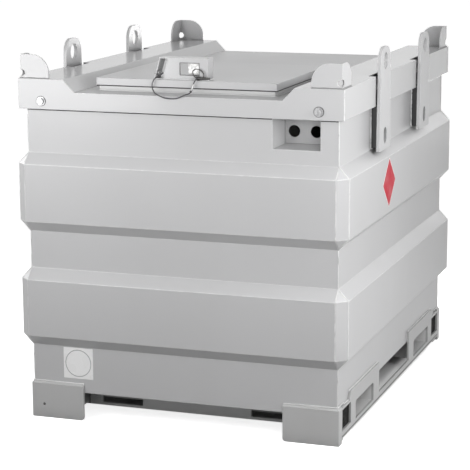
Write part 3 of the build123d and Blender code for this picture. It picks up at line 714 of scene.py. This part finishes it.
def weld_rails():
    """Up and over the raised plate round each fork pocket, then down to the square port."""
    (x, _, _), (_, _, top) = corners_of("side_rail_right")
    x, over = x + 2 * PROUD, top + 2 * PROUD
    plate_near, plate_far, plate_foot = 0.2300, 0.6100, 0.1180
    port_near, port_far, port_top = 0.6130, 0.6780, 0.1262
    weld("weld_rails", at_corners([
        (x, plate_near, plate_foot), (x, plate_near, over), (x, plate_far, over), (x, port_near, port_top),
        (x, port_far, port_top)]))


def weld_guides():
    """Along both faces of each corner guide's sheet."""
    (near_x, near_y, _), (far_x, far_y, _) = corners_of("corner_guide_rear_right")
    z = COLLAR_TOP + 0.0006
    lines = []
    for off in (0.0007, -GUIDE_SHEET - 0.0007):
        x, y = far_x + off, far_y + off
        lines.append([(near_x + PROUD, y, z), (x, y, z), (x, near_y + PROUD, z)])
    # the guides' beads are dark, a painted shade at each guide's foot
    weld("weld_guides", at_corners(*lines), 0.0028, material=PAINT_SEAM_SHADE)


def weld_coaming():
    (_, front, _), (x, rear, _) = corners_of("hatch_coaming")
    x, front, rear, z = x + PROUD, front - PROUD, rear + PROUD, DECK_TOP + 0.0008
    weld("weld_coaming", [[(x, front, z), (x, rear, z), (-x, rear, z), (-x, front, z), (x, front, z)]],
         0.0026)


def weld_hinges():
    """In front of both hinge blocks and behind them."""
    (_, front, _), (_, rear, _) = corners_of("lid_hinge_blocks")
    inner, outer, z = 0.178, 0.262, DECK_TOP + 0.0008
    weld("weld_hinges", [[(sx * inner, y, z), (sx * outer, y, z)] for sx in (1, -1)
                         for y in (front - PROUD, rear + PROUD)], 0.0026)


def weld_hood():
    (_, front, _), (right, rear, _) = corners_of("lid_hood")
    left, right, front, rear, z = -0.1130, right + 0.0002, front - PROUD, rear + PROUD, LID_TOP + PROUD
    weld("weld_hood", [[(left, front, z), (right, front, z), (right, rear, z), (left, rear, z)]], 0.0021,
         body=LID)


def weld_corners():
    x, y = WALL_X - 0.0006, WALL_Y - 0.0006
    weld("weld_corners", at_corners(*[[(x, y, low), (x, y, high)] for low, high in PLAIN_CORNERS]), 0.0020)


def weld_belts():
    """Out along one edge of a belt's slope, up its face and back in along the other slope."""
    x, y = BELT_X - 0.0029, WALL_Y + 0.0019
    lines = []
    for low, high in BELT_FACES:
        lines.append([(WALL_X, WALL_Y, low - BELT_OUT), (x, y, low), (x, y, high),
                      (WALL_X, WALL_Y, high + BELT_OUT)])
    weld("weld_belts", at_corners(*lines), 0.0022)


def weld_lugs():
    """Down, across and up round the slot in the wall that each lug's webs go through."""
    x, near, far, low, high = WALL_X + 0.0012, 0.2375, 0.3565, 0.9570, 1.1040
    weld("weld_lugs", at_corners([(x, near, high), (x, near, low), (x, far, low), (x, far, high)]))


def weld_collar():
    """Up the collar's corners, where its fascia meets the side."""
    x, y = COLLAR_X - PROUD, corners_of("collar_right")[1][1]
    weld("weld_collar", at_corners([(x, y, COLLAR_FOOT + 2 * PROUD), (x, y, COLLAR_TOP - PROUD)]), 0.0016)


weld_feet()
weld_rails()
weld_guides()
weld_coaming()
weld_hinges()
weld_hood()
weld_corners()
weld_belts()
weld_lugs()
weld_collar()


# thin bars: dark gaps and plates behind the ports as painted shadow, and a seal and trim whose dark grey
# also stands in for shade

# near-black rubber for painted shadow, and grey rubber for the seal and the window's frame
SHADOW_BAR = rubber("painted_shadow_gap", (22, 22, 23), specular=0.05)
SEAL_AND_SHADE = rubber("seal_and_shade_rubber", (74, 74, 75), specular=0.2)


def bars(name, places, material, body=TANK):
    """Flat bars as one piece, each given by its ranges in x, y and z."""
    sides = [(0, 1, 3, 2), (4, 6, 7, 5), (0, 4, 5, 1), (2, 3, 7, 6), (0, 2, 6, 4), (1, 5, 7, 3)]
    parts = []
    for xs, ys, zs in places:
        verts = [Vector((x, y, z)) for x in sorted(xs) for y in sorted(ys) for z in zs]
        parts.append((verts, sides))
    return new_object(name, joined(name, parts), body, material, smooth=False)


def rail_gaps():
    """The shade under the folded lip of both side rails."""
    near = corners_of("side_rail_right")[1][0]
    far, length, height = near + 0.0003, 0.7220, (0.0225, 0.0250)
    bars("rail_gaps", [((sx * near, sx * far), (-length, length), height) for sx in (1, -1)],
         SHADOW_BAR)


def collar_gaps():
    """The shade under the collar's folded edge, which the hose port interrupts in front."""
    (port_left, _, _), (port_right, _, _) = corners_of("port_recess")
    port_left, port_right = port_left + 0.0020, port_right - 0.0020
    end, near, far = WALL_X - PROUD, WALL_Y + 0.0001, WALL_Y + 0.0006
    height = COLLAR_FOOT - 0.0060, COLLAR_FOOT - 0.0034
    front, rear = (-near, -far), (near, far)
    bars("collar_gaps", [((-end, port_left), front, height), ((port_right, end), front, height),
                         ((-end, end), rear, height)], SHADOW_BAR)


def port_shadow_plates():
    """Plates that close the view through the square ports beside the feet, near black as a painted shadow
    inside them.
    """
    inner, outer = WALL_X - 4 * PROUD, WALL_X - PROUD
    near, far, height = 0.6090, 0.7230, (0.0380, 0.1150)
    bars("port_shadow_plates", [((sx * inner, sx * outer), (sy * near, sy * far), height) for sx, sy in SIGNS],
         SHADOW_BAR)


def lid_seal_and_shade():
    """A strip of rubber round the coaming, under the lid's lip, in front and at both sides; its dark grey
    also stands in for the shade under the lip.
    """
    (_, corner, _), (inner, rear, _) = corners_of("hatch_coaming")
    inner, corner = inner + 0.0002, corner - 0.0002
    (_, front, foot), (outer, _, _) = corners_of("lid")
    outer, front, height = outer - 0.0020, front + 0.0015, (foot - 0.0036, foot - 0.0010)
    bars("lid_seal_and_shade", [((-outer, outer), (front, corner), height), ((-outer, -inner), (corner, rear), height),
                      ((inner, outer), (corner, rear), height)], SEAL_AND_SHADE)


def window_shade_frame():
    """A frame of four dark bars round the window in the hood, a painted shade on the window's edges."""
    left, right, low, high, wide = -0.0236, 0.0476, 1.2294, 1.2726, 0.0016
    face = corners_of("lid_hood")[0][1]
    depth = face - 0.0006, face + 0.0002
    level, upright = (left, right), (low + wide, high - wide)
    bars("hood_window_shade_frame", [
        (level, depth, (high - wide, high)), (level, depth, (low, low + wide)),
        ((left, left + wide), depth, upright), ((right - wide, right), depth, upright)],
        SEAL_AND_SHADE, LID)


rail_gaps()
collar_gaps()
port_shadow_plates()
lid_seal_and_shade()
window_shade_frame()


# gaskets and rings of the fascia bolts; each gasket's dark ring also stands in for the shade round its
# washer

BOLT_X, BOLT_Z = 0.497, 1.136
GASKET_AND_SHADE = [(0.0178, 0.0), (0.0178, 0.0008), (0.0158, 0.0008), (0.0158, 0.0)]
RING = [(0.0068, 0.0088), (0.0066, 0.0104), (0.0054, 0.0108), (0.0046, 0.0100), (0.0044, 0.0086)]


def lathe(profile, centre, out_dir, steps=40):
    """A turned shape: (radius, height) pairs round an axis along y, out_dir 1 to the rear or -1."""
    verts = []
    for radius, height in profile:
        for k in range(steps):
            angle = 2 * math.pi * k / steps
            x, z = radius * math.cos(angle), radius * math.sin(angle)
            verts.append(centre + Vector((x, out_dir * height, z)))
    faces = bands(len(profile), steps)
    return verts, faces if out_dir < 0 else [tuple(reversed(face)) for face in faces]


def on_bolts(name, profile, material):
    """One turned shape round each of the four bolts."""
    turned = [lathe(profile, Vector((sx * BOLT_X, sy * COLLAR_Y, BOLT_Z)), sy) for sx, sy in SIGNS]
    return new_object(name, joined(name, turned), TANK, material)


on_bolts("bolt_gaskets_and_shade", GASKET_AND_SHADE, RUBBER)
on_bolts("bolt_rings", RING, ZINC)


# floor, world and lamps

FLOOR_REACH = 60
FLOOR_SEEN = 0.82
FLOOR_TONE = 0.8
FLOOR_INDIRECT = 0.25
WORLD_LIGHT = 0.25
PURE_WHITE = (1, 1, 1, 1)
# |x| and |y| where the floor's white starts and where it is full; nearer the middle the white is left out as a painted shadow under the tank
WHITE_BESIDE = 0.48, 0.59
WHITE_BEFORE = 0.53, 0.57


def pale_floor():
    """A grey floor that takes the tank's shadow, and adds white where it is seen, but not under the tank,
    where leaving it out is a painted shadow.
    """
    r = FLOOR_REACH
    data = mesh_of("floor", [(-r, -r, 0), (r, -r, 0), (r, r, 0), (-r, r, 0)], [(0, 1, 2, 3)])
    floor = bpy.data.objects.new("floor", data)
    scene.collection.objects.link(floor)
    material = bpy.data.materials.new("floor_pale")
    material.use_nodes = True
    data.materials.append(material)
    n = Tree(material.node_tree)
    apart = n.add("ShaderNodeSeparateXYZ")
    n.link(n.add("ShaderNodeNewGeometry").outputs["Position"], apart.inputs[0])
    beside = n.ramp(n.math("ABSOLUTE", apart.outputs[0]), *WHITE_BESIDE)
    before = n.ramp(n.math("ABSOLUTE", apart.outputs[1]), *WHITE_BEFORE)
    outside_painted_shadow = n.math("MAXIMUM", beside, before)
    white = n.add("ShaderNodeEmission")
    n.put(white, 0, PURE_WHITE)
    n.put(white, 1, n.math("MULTIPLY", n.math("MULTIPLY", outside_painted_shadow, n.seen()), FLOOR_SEEN))
    diffuse = n.add("ShaderNodeBsdfDiffuse")
    camera_ray = n.add("ShaderNodeLightPath").outputs["Is Camera Ray"]
    n.put(diffuse, 0, n.ramp(camera_ray, 0.0, 1.0, FLOOR_INDIRECT, FLOOR_TONE))
    both = n.add("ShaderNodeAddShader")
    n.put(both, 0, diffuse.outputs[0])
    n.put(both, 1, white.outputs[0])
    n.put(n.add("ShaderNodeOutputMaterial"), 0, both.outputs[0])


def white_world():
    """A faint even light, seen as plain white."""
    world = bpy.data.worlds.new("world")
    scene.world = world
    world.use_nodes = True
    n = Tree(world.node_tree)
    mix = n.add("ShaderNodeMixShader")
    n.put(mix, 0, n.seen())
    for socket, level in ((1, WORLD_LIGHT), (2, 1.0)):
        background = n.add("ShaderNodeBackground")
        n.put(background, 0, PURE_WHITE)
        n.put(background, 1, level)
        n.put(mix, socket, background.outputs[0])
    n.put(n.add("ShaderNodeOutputWorld"), 0, mix.outputs[0])


def softbox(name, place, target, width, height, watts):
    """A rectangular lamp at a place, aimed at a target."""
    data = bpy.data.lights.new(name, "AREA")
    data.shape = "RECTANGLE"
    data.size, data.size_y = width, height
    data.energy = watts
    light = bpy.data.objects.new(name, data)
    scene.collection.objects.link(light)
    light.location = place
    light.rotation_euler = (Vector(target) - Vector(place)).to_track_quat("-Z", "Y").to_euler()
    light.visible_camera = False


pale_floor()
white_world()
softbox("front_left", (-0.9, -1.8, 1.25), (-0.4, -0.77, 1.15), 0.8, 0.6, watts=10.5)
softbox("front_middle", (0.2, -2.1, 1.25), (0.1, -0.77, 1.25), 1.2, 0.6, watts=2.6)
softbox("front_right", (1.2, -2.0, 1.25), (0.6, -0.77, 1.2), 0.9, 0.7, watts=12)
softbox("side_right", (1.75, -0.8, 1.4), (0.58, -0.5, 1.3), 1.0, 0.6, watts=13.5)
softbox("side_low", (1.7, -0.6, 0.2), (0.57, -0.3, 0.1), 1.2, 0.3, watts=2.6)
softbox("side_left", (-1.8, 0.4, 1.1), (-0.58, 0.1, 1.0), 1.4, 0.6, watts=9)
softbox("rear_right", (0.3, 2.2, 0.9), (0.2, 0.77, 0.85), 0.8, 0.6, watts=11)
softbox("rear_left", (-1.0, 2.1, 0.9), (-0.3, 0.77, 0.85), 0.8, 0.6, watts=11)
softbox("top", (0.3, 0.0, 4.0), (0, 0, 1.2), 3.0, 3.0, watts=24)

scene.view_settings.view_transform = "Standard"
